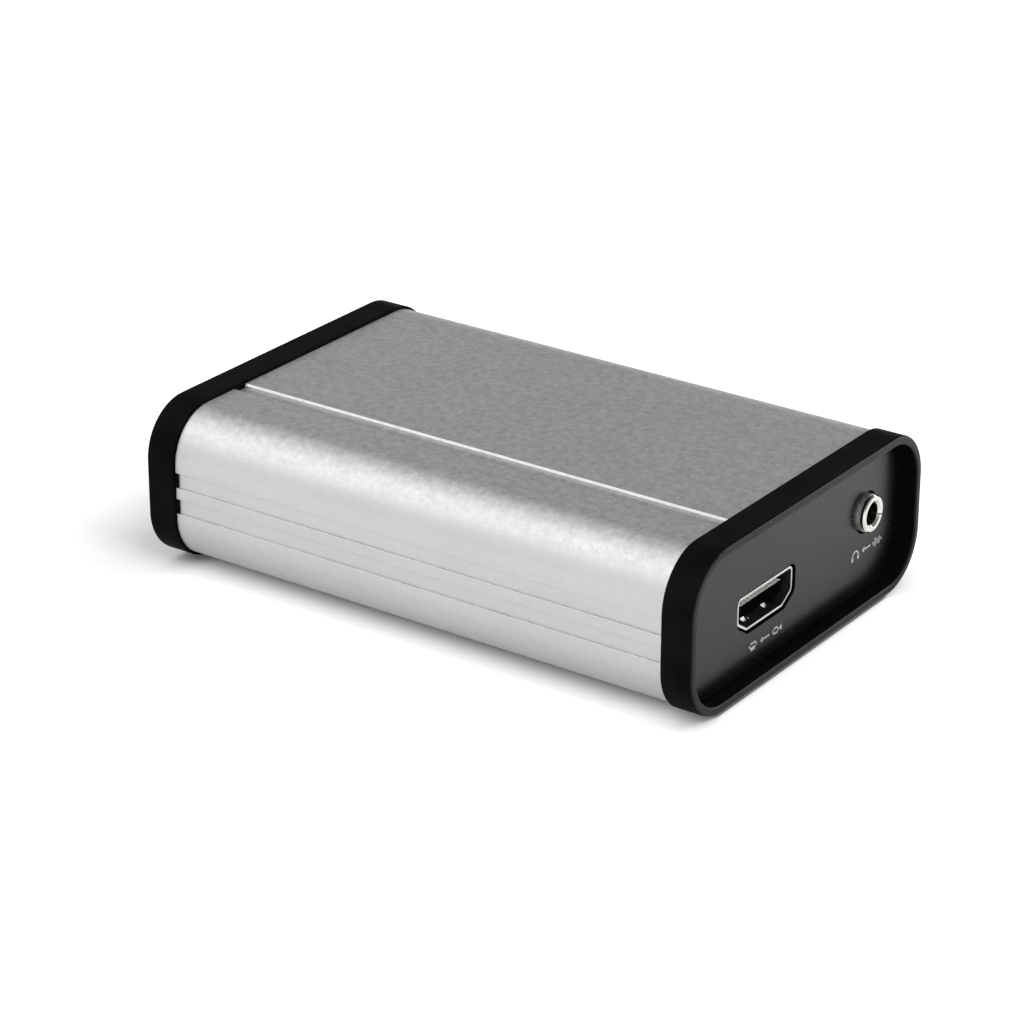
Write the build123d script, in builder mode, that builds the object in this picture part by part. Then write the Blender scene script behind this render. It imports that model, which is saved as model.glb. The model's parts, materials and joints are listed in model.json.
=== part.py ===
from build123d import *

import os
from math import atan2, cos, degrees, sin, tan

# A video capture box: an extruded aluminium tube with a black bezel and a black panel at each end,
# a circuit board in the tube's rails, two sockets at the front and one socket and a light at the rear.
# Millimetres. +X points out of the front ports, +Z up, and the origin is under the middle of the box,
# at the level that the rubber feet stand on.

# Whole box
length = 99.0
width = 65.0
bezel_height = 25.8
bezel_corner = 8.6
foot_drop = 0.8

# Clearances and small shared sizes
seat_gap = 0.15
fit_gap = 0.02
cut_over = 1.0

# Bezels: a ring with a rim, an inner lip, a pocket for the panel and a seat behind it
bezel_depth = 5.2
rim_wall = 1.45
rim_round = 0.4
back_round = 0.2
recess_depth = 2.7
lip_width = 0.55
lip_round = 0.15
seat_width = 1.3
tongue_reach = 1.6
tongue_wall = 0.7
tongue_width = 6.0
tongue_place_share = 0.108
peg_reach = 0.5
front_peg_reach = 0.2
peg_gap = 0.1

# Panels: a plate with two legs that the case screws pull down
panel_thickness = 1.2
panel_sink = 0.1
panel_gap = 0.12
cutout_gap = 0.45
leg_place_share = 0.2615
leg_width = 7.0
leg_past_screw = 3.5
leg_board_gap = 0.8
leg_ring_gap = 0.1

# Extruded tube
tube_inset = 0.45
tube_wall = 2.0
tube_end_chamfer = 0.12
channel_depth = 0.3
channel_height = 2.4
channel_pitch = 4.3
channel_round = 0.12
groove_depth = 0.6
groove_width = 2.3
groove_place_share = 0.2485
groove_chamfer = 0.3
rail_thickness = 1.2
rail_reach = 2.05

# Case screws and feet
screw_inset = 7.5
screw_radius = 1.25
screw_head_radius = 2.3
screw_head_height = 1.2
screw_bite = 2.6
screw_slot_width = 0.5
screw_slot_length = 2.4
screw_slot_depth = 0.7
hole_gap = 0.15
foot_radius = 5.0
foot_round = 0.3

# Circuit board
board_top = 8.75
board_thickness = 1.6
board_side_gap = 0.65
board_end_gap = 0.8
board_corner = 1.5
rail_gap = 0.15
sheet_thickness = 0.3
sheet_end_gap = 0.6
sheet_side_gap = 2.0

# Video socket: a steel shell with a flared mouth, spring fingers and a tongue with contacts
video_place_share = -0.1208
video_sink = 0.3
video_length = 12.0
cavity_width = 14.0
cavity_height = 4.55
cavity_run = 2.2
cavity_rise = 1.45
cavity_corner = 0.4
shell_wall = 0.35
lip_depth = 2.0
lip_flare = 0.25
shell_tab_width = 1.2
shell_tab_inset = 3.0
shell_tab_run = 6.0
shell_tab_reach = 2.1
tab_hole_gap = 0.25
finger_place = 2.83
finger_width = 1.0
finger_thickness = 0.25
finger_root_depth = 8.2
finger_bend_depth = 2.6
finger_tip_depth = 1.55
finger_bump = 0.55
finger_turn = 0.5
finger_gap = 0.25
window_end_gap = 0.3
tongue_tip_depth = 0.8
tongue_plastic_width = 11.3
tongue_plastic_height = 1.9
insert_depth = 3.4
insert_gap = 0.05
contact_pitch = 1.0
contact_count = 10
contact_width = 0.3
contact_thickness = 0.15
contact_groove = 0.1
contact_side_gap = 0.05
contact_tip_gap = 0.1
contact_tail_gap = 0.5
contact_tail_step = 1.1
contact_foot = 0.8

# Audio jack: a black body with a nickel nose, two spring contacts and their terminals
jack_place_share = 0.3174
jack_axis_height = 6.28
jack_nose_radius = 2.95
jack_nose_proud = 1.3
jack_nose_bite = 1.0
jack_bore_radius = 1.8
jack_bore_chamfer = 0.35
jack_nose_chamfer = 0.2
jack_groove_rim = 0.14
jack_groove_width = 0.4
jack_groove_depth = 0.26
jack_slit_width = 0.2
jack_slit_depth = 2.4
jack_slit_angle = 19.0
jack_hole_gap = 0.43
jack_panel_gap = 0.2
jack_body_width = 8.0
jack_body_length = 12.0
jack_body_head = 3.1
jack_body_chamfer = 0.6
jack_body_bore_radius = 2.1
jack_plug_reach = 14.0
spring_thickness = 0.3
spring_height = 1.2
spring_offset = 2.35
spring_nose = 0.9
spring_nose_run = 0.9
tip_spring_length = 6.6
ring_spring_length = 3.4
spring_pocket_height = 1.8
spring_pocket_out = 3.2
spring_pocket_end_gap = 0.4
spring_root_depth = 6.0
terminal_thickness = 0.6
terminal_width = 0.8
terminal_reach = 2.1

# Data socket at the rear: a rounded steel shell around a thin tongue
data_place_share = -0.0923
data_proud = 0.1
data_length = 7.4
data_width = 8.94
data_height = 3.26
data_wall = 0.3
data_tongue_width = 6.6
data_tongue_height = 0.7
data_tongue_tip_depth = 0.9
data_insert_depth = 2.2
data_contact_pitch = 0.5
data_contact_count = 12
data_contact_width = 0.25
data_contact_thickness = 0.1
data_tip_gap = 0.5
data_cutout_gap = 0.3
data_tab_inset = 1.4
data_tab_run = 4.0
data_tab_width = 0.9

# Status light and its light pipe at the rear
light_place_share = 0.1538
light_size = 1.6
light_height = 0.7
pipe_radius = 1.2
pipe_height = 2.4
pipe_block = 3.2
pipe_block_height = 3.8
pipe_slot_gap = 0.4
light_inset = 4.5
pipe_hole_gap = 0.15
pipe_proud = 0.1

# Chips and other parts on the board, placed from the sockets inward
part_gap = 2.0
receiver_size = 14.0
receiver_height = 1.4
receiver_standoff = 0.1
receiver_place_share = -0.0923
lead_count = 16
lead_pitch = 0.8
lead_width = 0.3
lead_thickness = 0.15
lead_reach = 1.1
lead_foot = 0.5
capture_size = 15.0
capture_height = 1.2
capture_place_share = -0.0923
capture_cap_inset = 0.8
capture_base_height = 0.4
tape_thickness = 0.2
tape_inset = 0.5
sink_size = 14.0
sink_base = 1.2
sink_height = 6.0
sink_fins = 6
sink_fin_thickness = 0.9
memory_length = 9.0
memory_width = 13.0
memory_height = 1.1
memory_place_share = 0.2077
flash_length = 5.0
flash_width = 4.0
flash_height = 1.6
flash_place_share = 0.1654
flash_pin_count = 4
flash_pin_pitch = 1.27
flash_pin_width = 0.4
flash_pin_reach = 1.0
flash_pin_thickness = 0.2
codec_size = 5.0
codec_height = 0.9
crystal_length = 11.0
crystal_width = 4.6
crystal_height = 3.4
crystal_base = 0.8
crystal_place_share = -0.2923
capacitor_radius = 3.1
capacitor_height = 7.4
capacitor_base = 0.9
capacitor_pitch = 8.0
capacitor_place_share = 0.2615
capacitor_inset = 11.0
capacitor_round = 0.4
inductor_size = 6.0
inductor_height = 3.0
inductor_core_radius = 2.2
inductor_core_height = 0.3
inductor_pitch = 9.0
inductor_place_share = -0.0308
inductor_inset = 13.0
regulator_length = 3.5
regulator_width = 6.5
regulator_height = 1.7
regulator_tab = 1.6
regulator_tab_height = 0.5
regulator_place_share = -0.3077
regulator_inset = 11.0
passive_length = 1.6
passive_width = 0.8
passive_height = 0.6
passive_pitch = 2.4
passive_rows = 2
passive_columns = 5
array_length = 2.4
array_width = 1.2
array_height = 0.7
array_pitch = 5.0
array_gap = 0.6

# Levels and planes that follow from the sizes above
bezel_base = foot_drop
mid_z = bezel_base + bezel_height / 2
tube_base = bezel_base + tube_inset
tube_top = tube_base + bezel_height - 2 * tube_inset
tube_floor = tube_base + tube_wall
tube_half = length / 2 - bezel_depth
tube_side = width / 2 - tube_inset
inner_inset = tube_inset + tube_wall
inner_side = width / 2 - inner_inset
opening_inset = rim_wall + lip_width + seat_width
opening_base = bezel_base + opening_inset
lip_face = length / 2 - recess_depth
panel_face = lip_face - panel_sink
panel_back = panel_face - panel_thickness
screw_x = tube_half - screw_inset
leg_end = screw_x - leg_past_screw
board_half = tube_half - board_end_gap
board_side = inner_side - board_side_gap
board_base = board_top - board_thickness
video_face = panel_face - video_sink
video_z = board_top + shell_wall + cavity_height / 2
jack_z = board_top + jack_axis_height
jack_face = panel_face + jack_nose_proud
jack_body_front = panel_back - jack_panel_gap
jack_body_back = jack_body_front - jack_body_length
data_face = panel_face + data_proud
data_z = board_top + data_height / 2
pipe_z = board_top + pipe_height
light_x = board_half - light_inset

# Places across the width
tongue_place = tongue_place_share * width
leg_place = leg_place_share * width
groove_place = groove_place_share * width
video_place = video_place_share * width
jack_place = jack_place_share * width
data_place = data_place_share * width
light_place = light_place_share * width
receiver_place = receiver_place_share * width
capture_place = capture_place_share * width
memory_place = memory_place_share * width
flash_place = flash_place_share * width
crystal_place = crystal_place_share * width
capacitor_place = capacitor_place_share * width
inductor_place = inductor_place_share * width
regulator_place = regulator_place_share * width


def span(x_range, y_range, z_range, mode=Mode.ADD):
    """A box between two limits on each axis."""
    low_x, high_x = sorted(x_range)
    low_y, high_y = sorted(y_range)
    low_z, high_z = sorted(z_range)
    with BuildSketch(Plane.XY.offset(low_z)) as base:
        with Locations(((low_x + high_x) / 2, (low_y + high_y) / 2)):
            Rectangle(high_x - low_x, high_y - low_y)
    extrude(base.sketch, amount=high_z - low_z, mode=mode)


def chip(x, y, length_x, width_y, z, height, mode=Mode.ADD):
    """A box that stands at level z with its middle over x, y."""
    span(
        (x - length_x / 2, x + length_x / 2),
        (y - width_y / 2, y + width_y / 2),
        (z, z + height),
        mode,
    )


def slab(x, amount, inset, mode=Mode.ADD):
    """The bezel's rounded outline, drawn in by inset, run along X from plane x."""
    with BuildSketch(Plane.YZ.offset(x)) as profile:
        with Locations((0, mid_z)):
            RectangleRounded(width - 2 * inset, bezel_height - 2 * inset, bezel_corner - inset)
    extrude(profile.sketch, amount=amount, mode=mode)


def rod(x, amount, y, z, radius, mode=Mode.ADD):
    """A round bar along X from plane x."""
    with BuildSketch(Plane.YZ.offset(x)) as profile:
        with Locations((y, z)):
            Circle(radius)
    extrude(profile.sketch, amount=amount, mode=mode)


def socket_outline(x, growth):
    """The video socket's cavity seen from the front, wide side up, grown outward by growth."""
    half = cavity_width / 2
    top = video_z + cavity_height / 2
    base = video_z - cavity_height / 2
    corners = [
        (video_place - half, top),
        (video_place + half, top),
        (video_place + half, base + cavity_rise),
        (video_place + half - cavity_run, base),
        (video_place - half + cavity_run, base),
        (video_place - half, base + cavity_rise),
    ]
    with BuildSketch(Plane.YZ.offset(x)) as profile:
        with BuildLine():
            Polyline(corners, close=True)
        make_face()
        fillet(profile.vertices(), cavity_corner)
        if growth:
            offset(amount=growth)
    return profile.sketch


def slot_outline(x, growth):
    """The data socket's rounded shell outline, grown by growth."""
    with BuildSketch(Plane.YZ.offset(x)) as profile:
        with Locations((data_place, data_z)):
            SlotOverall(data_width + 2 * growth, data_height + 2 * growth)
    return profile.sketch


def plate(profile, y, thickness):
    """A closed outline in X and Z, made into a plate of this thickness about plane y."""
    with BuildSketch(Plane.XZ.offset(-y)) as face:
        with BuildLine():
            Polyline(profile, close=True)
        make_face()
    extrude(face.sketch, amount=thickness / 2, both=True)


def save(builder, name):
    builder.part.label = name
    export_step(builder.part, f"parts/{name}.step")


os.makedirs("parts", exist_ok=True)

# Extruded aluminium tube, with two channels along each side, a groove along the top and board rails
with BuildPart() as tube:
    slab(-tube_half, 2 * tube_half, tube_inset)
    slab(-tube_half, 2 * tube_half, inner_inset, Mode.SUBTRACT)
    for side in (-1, 1):
        for level in (-1, 1):
            channel_z = mid_z + level * channel_pitch / 2
            span(
                (-tube_half, tube_half),
                (side * (tube_side - channel_depth), side * (tube_side + cut_over)),
                (channel_z - channel_height / 2, channel_z + channel_height / 2),
                Mode.SUBTRACT,
            )
        for rail_low in (board_base - rail_gap - rail_thickness, board_top + rail_gap):
            span(
                (-tube_half, tube_half),
                (side * (inner_side - rail_reach), side * (inner_side + tube_wall / 4)),
                (rail_low, rail_low + rail_thickness),
            )
    span(
        (-tube_half, tube_half),
        (-groove_place - groove_width / 2, -groove_place + groove_width / 2),
        (tube_top - groove_depth, tube_top + cut_over),
        Mode.SUBTRACT,
    )
    along = tube.edges().filter_by(Axis.X)
    channel_lips = [
        edge
        for edge in along
        if abs(abs(edge.center().Y) - tube_side) < fit_gap
        and abs(edge.center().Z - mid_z) < channel_pitch / 2 + channel_height / 2 + fit_gap
    ]
    fillet(channel_lips, channel_round)
    along = tube.edges().filter_by(Axis.X)
    groove_lips = [
        edge
        for edge in along
        if abs(edge.center().Z - tube_top) < fit_gap
        and abs(edge.center().Y + groove_place) < groove_width / 2 + fit_gap
    ]
    chamfer(groove_lips, groove_chamfer)
    for end in (Axis.X, -Axis.X):
        chamfer(tube.faces().sort_by(end)[-1].outer_wire().edges(), tube_end_chamfer)
    for end in (-1, 1):
        for side in (-1, 1):
            with Locations((end * screw_x, side * leg_place, tube_base)):
                Cylinder(
                    screw_radius + hole_gap,
                    tube_wall + cut_over,
                    align=(Align.CENTER, Align.CENTER, Align.MIN),
                    mode=Mode.SUBTRACT,
                )
                Cone(
                    screw_head_radius + fit_gap,
                    screw_radius + fit_gap,
                    screw_head_height,
                    align=(Align.CENTER, Align.CENTER, Align.MIN),
                    mode=Mode.SUBTRACT,
                )
save(tube, "housing_tube")


def bezel(out):
    """A ring at one end: rim, recess, lip, panel pocket, seat, tongues into the tube, pegs in its channels."""
    outward = Axis.X if out > 0 else -Axis.X
    reach = front_peg_reach if out > 0 else peg_reach
    with BuildPart() as ring:
        slab(out * length / 2, -out * bezel_depth, 0)
        slab(out * length / 2, -out * recess_depth, rim_wall, Mode.SUBTRACT)
        fillet(ring.faces().sort_by(outward)[-1].edges(), rim_round)
        slab(out * lip_face, -out * (bezel_depth - recess_depth), opening_inset, Mode.SUBTRACT)
        slab(out * lip_face, -out * (panel_thickness + panel_sink), rim_wall + lip_width, Mode.SUBTRACT)
        fillet(ring.faces().sort_by(outward)[0].outer_wire().edges(), back_round)
        lip = ring.faces().filter_by(Axis.X).filter_by(lambda f: abs(f.center().X - out * lip_face) < fit_gap)
        fillet(lip.sort_by(SortBy.AREA)[-1].inner_wires()[0].edges(), lip_round)
        for side in (-1, 1):
            for level in (-1, 1):
                tongue_low = mid_z + level * (bezel_height / 2 - inner_inset - seat_gap)
                span(
                    (out * (tube_half - tongue_reach), out * (tube_half + cut_over / 2)),
                    (side * (tongue_place - tongue_width / 2), side * (tongue_place + tongue_width / 2)),
                    (tongue_low, tongue_low - level * tongue_wall),
                )
                channel_z = mid_z + level * channel_pitch / 2
                half_peg = channel_height / 2 - peg_gap
                span(
                    (out * (tube_half - reach), out * (tube_half + cut_over / 2)),
                    (side * (tube_side - channel_depth + fit_gap), side * tube_side),
                    (channel_z - half_peg, channel_z + half_peg),
                )
    return ring


for out, name in ((1, "front_bezel"), (-1, "rear_bezel")):
    save(bezel(out), name)


def panel_blank(out):
    """A panel's plate with its two legs, each with a blind hole for a case screw."""
    plate_inset = rim_wall + lip_width + panel_gap
    leg_low = opening_base + leg_ring_gap
    leg_top = board_base - leg_board_gap
    pad_start = tube_half - seat_gap
    with BuildPart() as blank:
        slab(out * panel_face, -out * panel_thickness, plate_inset)
        for side in (-1, 1):
            leg_y = side * leg_place
            leg_sides = (leg_y - leg_width / 2, leg_y + leg_width / 2)
            span((out * panel_back, out * leg_end), leg_sides, (leg_low, leg_top))
            span((out * pad_start, out * leg_end), leg_sides, (tube_floor + seat_gap, leg_low))
            with Locations((out * screw_x, leg_y, tube_floor)):
                Cylinder(
                    screw_radius + fit_gap,
                    screw_bite + seat_gap,
                    align=(Align.CENTER, Align.CENTER, Align.MIN),
                    mode=Mode.SUBTRACT,
                )
    return blank


with BuildPart() as front_panel:
    add(panel_blank(1).part)
    cut = panel_thickness + cut_over
    extrude(
        socket_outline(panel_face + cut_over / 2, shell_wall + lip_flare + cutout_gap),
        amount=-cut,
        mode=Mode.SUBTRACT,
    )
    rod(panel_face + cut_over / 2, -cut, jack_place, jack_z, jack_nose_radius + jack_hole_gap, Mode.SUBTRACT)
save(front_panel, "front_panel")

with BuildPart() as rear_panel:
    add(panel_blank(-1).part)
    cut = panel_thickness + cut_over
    extrude(slot_outline(-panel_face - cut_over / 2, data_cutout_gap), amount=cut, mode=Mode.SUBTRACT)
    rod(-panel_face - cut_over / 2, cut, light_place, pipe_z, pipe_radius + pipe_hole_gap, Mode.SUBTRACT)
save(rear_panel, "rear_panel")

# Four countersunk case screws, up through the tube's floor into the panels' legs
with BuildPart() as screws:
    for end in (-1, 1):
        for side in (-1, 1):
            with Locations((end * screw_x, side * leg_place, tube_base)):
                Cylinder(
                    screw_radius,
                    tube_wall + screw_bite,
                    align=(Align.CENTER, Align.CENTER, Align.MIN),
                )
                Cone(
                    screw_head_radius,
                    screw_radius,
                    screw_head_height,
                    align=(Align.CENTER, Align.CENTER, Align.MIN),
                )
                for slot_x, slot_y in (
                    (screw_slot_length, screw_slot_width),
                    (screw_slot_width, screw_slot_length),
                ):
                    Box(
                        slot_x,
                        slot_y,
                        screw_slot_depth,
                        align=(Align.CENTER, Align.CENTER, Align.MIN),
                        mode=Mode.SUBTRACT,
                    )
save(screws, "case_screws")

# Rubber feet, stuck over the screw heads
for end, end_name in ((1, "front"), (-1, "rear")):
    for side, side_name in ((-1, "right"), (1, "left")):
        with BuildPart() as foot:
            with Locations((end * screw_x, side * leg_place, 0)):
                Cylinder(foot_radius, tube_base, align=(Align.CENTER, Align.CENTER, Align.MIN))
            fillet(foot.edges().sort_by(Axis.Z)[0], foot_round)
        save(foot, f"foot_{end_name}_{side_name}")


def shell_tabs(face, rear, place, half_span, top, inset, run, tab_width, gap, mode=Mode.ADD):
    """Four tabs, two each side of a socket, that run down through the board; gap grows them into holes."""
    out = 1 if face > rear else -1
    for step in (0, 1):
        tab_x = rear + out * (inset + step * run - tab_width / 2)
        for side in (-1, 1):
            tab_y = place + side * half_span
            span(
                (tab_x - tab_width / 2 - gap, tab_x + tab_width / 2 + gap),
                (tab_y - side * shell_wall - side * gap, tab_y + side * gap),
                (top, board_top - shell_tab_reach),
                mode,
            )


video_rear = video_face - video_length
data_rear = -data_face + data_length
video_tabs = (
    video_face,
    video_rear,
    video_place,
    cavity_width / 2 + shell_wall,
    video_z,
    shell_tab_inset,
    shell_tab_run,
    shell_tab_width,
)
data_tabs = (
    -data_face,
    data_rear,
    data_place,
    data_width / 2,
    data_z,
    data_tab_inset,
    data_tab_run,
    data_tab_width,
)


# The jack's tip contact lies on its right side and the ring contact on its left, rooted level
spring_root = jack_face - spring_root_depth
jack_springs = ((-1, tip_spring_length, "jack_tip_spring"), (1, ring_spring_length, "jack_ring_spring"))

# Circuit board, with slots for the sockets' tabs and holes for the jack's pins
with BuildPart() as board:
    with BuildSketch(Plane.XY.offset(board_base)):
        RectangleRounded(2 * board_half, 2 * board_side, board_corner)
    extrude(amount=board_thickness)
    shell_tabs(*video_tabs, tab_hole_gap, Mode.SUBTRACT)
    shell_tabs(*data_tabs, tab_hole_gap, Mode.SUBTRACT)
    for side in (-1, 1):
        pin_y = jack_place + side * (spring_offset + spring_thickness / 2)
        chip(
            spring_root + terminal_thickness / 2,
            pin_y,
            terminal_thickness + 2 * tab_hole_gap,
            terminal_width + 2 * tab_hole_gap,
            board_base - cut_over / 2,
            board_thickness + cut_over,
            Mode.SUBTRACT,
        )
save(board, "main_board")

# Insulating sheet on the tube's floor, between the panels' legs
with BuildPart() as sheet:
    span(
        (-leg_end + sheet_end_gap, leg_end - sheet_end_gap),
        (-inner_side + bezel_corner - sheet_side_gap, inner_side - bezel_corner + sheet_side_gap),
        (tube_floor, tube_floor + sheet_thickness),
    )
save(sheet, "insulating_sheet")

# Video socket shell, with a flared mouth and two windows for spring fingers above and below
with BuildPart() as video_shell:
    flare_angle = degrees(atan2(lip_flare, lip_depth))
    lip_start = video_face - lip_depth
    extrude(socket_outline(lip_start, shell_wall), amount=-(video_length - lip_depth))
    extrude(socket_outline(lip_start, shell_wall), amount=lip_depth, taper=-flare_angle)
    extrude(socket_outline(lip_start, 0), amount=-(video_length - lip_depth), mode=Mode.SUBTRACT)
    extrude(socket_outline(lip_start, 0), amount=lip_depth, taper=-flare_angle, mode=Mode.SUBTRACT)
    for level in (-1, 1):
        wall_z = video_z + level * cavity_height / 2
        for side in (-1, 1):
            window_y = video_place + side * finger_place
            half_window = finger_width / 2 + finger_gap
            span(
                (video_face - finger_root_depth, video_face - finger_tip_depth + window_end_gap),
                (window_y - half_window, window_y + half_window),
                (wall_z - level * shell_wall / 2, wall_z + level * 2 * shell_wall),
                Mode.SUBTRACT,
            )
    shell_tabs(*video_tabs, 0)
save(video_shell, "video_socket_shell")


def finger(level, side):
    """A leaf that slants into the cavity from its root at the back and turns out again at its tip."""
    inner = video_z + level * cavity_height / 2
    root_x = video_face - finger_root_depth
    bend_x = video_face - finger_bend_depth
    tip_x = video_face - finger_tip_depth
    bend_z = inner - level * finger_bump
    tip_z = inner + level * finger_turn
    slope = atan2(finger_bump + finger_turn, finger_bend_depth - finger_tip_depth)
    outward = level * finger_thickness
    profile = [
        (root_x, inner),
        (bend_x, bend_z),
        (tip_x, tip_z),
        (tip_x - finger_thickness * sin(slope), tip_z + outward * cos(slope)),
        (bend_x - finger_thickness * tan(slope / 2), bend_z + outward),
        (root_x, inner + outward),
    ]
    with BuildPart() as leaf:
        plate(profile, video_place + side * finger_place, finger_width)
    return leaf


for level, level_name in ((1, "upper"), (-1, "lower")):
    for side, side_name in ((-1, "right"), (1, "left")):
        save(finger(level, side), f"video_finger_{level_name}_{side_name}")


def video_contacts():
    """Side of the tongue, Y place, and X of the down-leg behind the insert, for each contact."""
    for level, count, step in ((1, contact_count, 1), (-1, contact_count - 1, 0)):
        for index in range(count):
            contact_y = video_place + (index - (count - 1) / 2) * contact_pitch
            leg_x = video_rear - contact_tail_gap - step * contact_tail_step
            yield level, contact_y, leg_x


def contact_band(level, gap):
    """Low and high level of a contact on the tongue's upper or lower face, or of its groove."""
    tongue_z = video_z + level * (tongue_plastic_height / 2 - contact_groove)
    return tongue_z, tongue_z + level * (contact_thickness + gap)


# Plastic insert of the video socket: a block at the back and a tongue with grooves for the contacts
with BuildPart() as video_insert:
    insert_front = video_rear + insert_depth
    extrude(socket_outline(video_rear, -insert_gap), amount=insert_depth)
    span(
        (video_rear, video_face - tongue_tip_depth),
        (video_place - tongue_plastic_width / 2, video_place + tongue_plastic_width / 2),
        (video_z - tongue_plastic_height / 2, video_z + tongue_plastic_height / 2),
    )
    for level, contact_y, leg_x in video_contacts():
        half_groove = contact_width / 2 + contact_side_gap
        span(
            (video_rear - cut_over, video_face - tongue_tip_depth - contact_tip_gap),
            (contact_y - half_groove, contact_y + half_groove),
            contact_band(level, contact_side_gap),
            Mode.SUBTRACT,
        )
save(video_insert, "video_socket_insert")

# Contacts of the video socket: strips along the tongue, down behind the insert to feet on the board
with BuildPart() as video_strips:
    for level, contact_y, leg_x in video_contacts():
        sides = (contact_y - contact_width / 2, contact_y + contact_width / 2)
        band = contact_band(level, 0)
        tip_x = video_face - tongue_tip_depth - contact_tip_gap - contact_side_gap
        leg = (leg_x - contact_thickness, leg_x)
        span((leg_x - contact_thickness, tip_x), sides, band)
        span(leg, sides, (board_top, max(band)))
        span((leg_x - contact_foot, leg_x), sides, (board_top, board_top + contact_thickness))
save(video_strips, "video_socket_contacts")

# Audio jack body, with a bore for the plug and a pocket each side for a spring contact
with BuildPart() as jack_body:
    body_sides = (jack_place - jack_body_width / 2, jack_place + jack_body_width / 2)
    body_top = jack_z + jack_body_head
    span((jack_body_back, jack_body_front), body_sides, (board_top, body_top))
    chamfer(jack_body.edges().filter_by(Axis.X).group_by(Axis.Z)[-1], jack_body_chamfer)
    rod(
        jack_face - jack_plug_reach,
        jack_plug_reach,
        jack_place,
        jack_z,
        jack_body_bore_radius,
        Mode.SUBTRACT,
    )
    rod(
        jack_body_front,
        -(jack_nose_bite + fit_gap),
        jack_place,
        jack_z,
        jack_nose_radius + fit_gap,
        Mode.SUBTRACT,
    )
    for side, reach, name in jack_springs:
        half_pocket = spring_pocket_height / 2
        pin_y = jack_place + side * (spring_offset + spring_thickness / 2)
        half_pin = terminal_width / 2 + contact_side_gap
        span(
            (spring_root - reach - spring_pocket_end_gap, spring_root + terminal_thickness + contact_side_gap),
            (jack_place, jack_place + side * spring_pocket_out),
            (jack_z - half_pocket, jack_z + half_pocket),
            Mode.SUBTRACT,
        )
        span(
            (spring_root - contact_side_gap, spring_root + terminal_thickness + contact_side_gap),
            (pin_y - half_pin, pin_y + half_pin),
            (board_top - cut_over, jack_z),
            Mode.SUBTRACT,
        )
save(jack_body, "audio_jack_body")

# Nickel nose of the jack: a short sleeve with a chamfered bore, a groove behind its rim and a slit
with BuildPart() as jack_nose:
    nose_back = jack_body_front - jack_nose_bite
    rod(nose_back, jack_face - nose_back, jack_place, jack_z, jack_nose_radius)
    rod(nose_back, jack_face - nose_back, jack_place, jack_z, jack_bore_radius, Mode.SUBTRACT)
    ends = jack_nose.faces().sort_by(Axis.X)[-1]
    chamfer(ends.inner_wires()[0].edges(), jack_bore_chamfer)
    chamfer(jack_nose.faces().sort_by(Axis.X)[-1].outer_wire().edges(), jack_nose_chamfer)
    with BuildSketch(Plane.YZ.offset(jack_face - jack_nose_chamfer - jack_groove_rim)) as groove:
        with Locations((jack_place, jack_z)):
            Circle(jack_nose_radius + cut_over)
            Circle(jack_nose_radius - jack_groove_depth, mode=Mode.SUBTRACT)
    extrude(groove.sketch, amount=-jack_groove_width, mode=Mode.SUBTRACT)
    with BuildSketch(Plane.YZ.offset(jack_face + cut_over)) as slit:
        with Locations((jack_place, jack_z)):
            Rectangle(
                jack_nose_radius + cut_over,
                jack_slit_width,
                rotation=-jack_slit_angle,
                align=(Align.MIN, Align.CENTER),
            )
    extrude(slit.sketch, amount=-(cut_over + jack_slit_depth), mode=Mode.SUBTRACT)
save(jack_nose, "audio_jack_nose")


def jack_spring(side, reach):
    """A leaf along the bore, with a V at its free end that reaches in to touch the plug."""
    near = jack_place + side * spring_offset
    far = near + side * spring_thickness
    crest = spring_root - reach + spring_nose_run
    profile = [
        (spring_root, near),
        (crest + spring_nose_run, near),
        (crest, near - side * spring_nose),
        (spring_root - reach, near),
        (spring_root - reach, far),
        (crest, far - side * spring_nose),
        (crest + spring_nose_run, far),
        (spring_root, far),
    ]
    with BuildPart() as leaf:
        with BuildSketch(Plane.XY.offset(jack_z)) as face:
            with BuildLine():
                Polyline(profile, close=True)
            make_face()
        extrude(face.sketch, amount=spring_height / 2, both=True)
    return leaf


for side, reach, name in jack_springs:
    save(jack_spring(side, reach), name)

# Terminals of the jack: a post beside each spring's root that runs down through the board
with BuildPart() as terminals:
    for side in (-1, 1):
        pin_y = jack_place + side * (spring_offset + spring_thickness / 2)
        span(
            (spring_root, spring_root + terminal_thickness),
            (pin_y - terminal_width / 2, pin_y + terminal_width / 2),
            (board_top - terminal_reach, jack_z + spring_height / 2),
        )
save(terminals, "jack_terminals")

# Data socket at the rear
with BuildPart() as data_shell:
    extrude(slot_outline(-data_face, 0), amount=data_length)
    extrude(slot_outline(-data_face, -data_wall), amount=data_length, mode=Mode.SUBTRACT)
    shell_tabs(*data_tabs, 0)
save(data_shell, "data_socket_shell")


def data_contact_places():
    """Side of the tongue and Y place of each contact of the data socket."""
    for level in (-1, 1):
        for index in range(data_contact_count):
            yield level, data_place + (index - (data_contact_count - 1) / 2) * data_contact_pitch


with BuildPart() as data_insert:
    extrude(slot_outline(data_rear, -data_wall - insert_gap), amount=-data_insert_depth)
    span(
        (data_rear, -data_face + data_tongue_tip_depth),
        (data_place - data_tongue_width / 2, data_place + data_tongue_width / 2),
        (data_z - data_tongue_height / 2, data_z + data_tongue_height / 2),
    )
    for level, contact_y in data_contact_places():
        half_groove = data_contact_width / 2 + contact_side_gap
        face_z = data_z + level * data_tongue_height / 2
        span(
            (data_rear + cut_over, -data_face + data_tongue_tip_depth + data_tip_gap),
            (contact_y - half_groove, contact_y + half_groove),
            (face_z - level * contact_groove, face_z + level * contact_side_gap),
            Mode.SUBTRACT,
        )
save(data_insert, "data_socket_insert")

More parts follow.
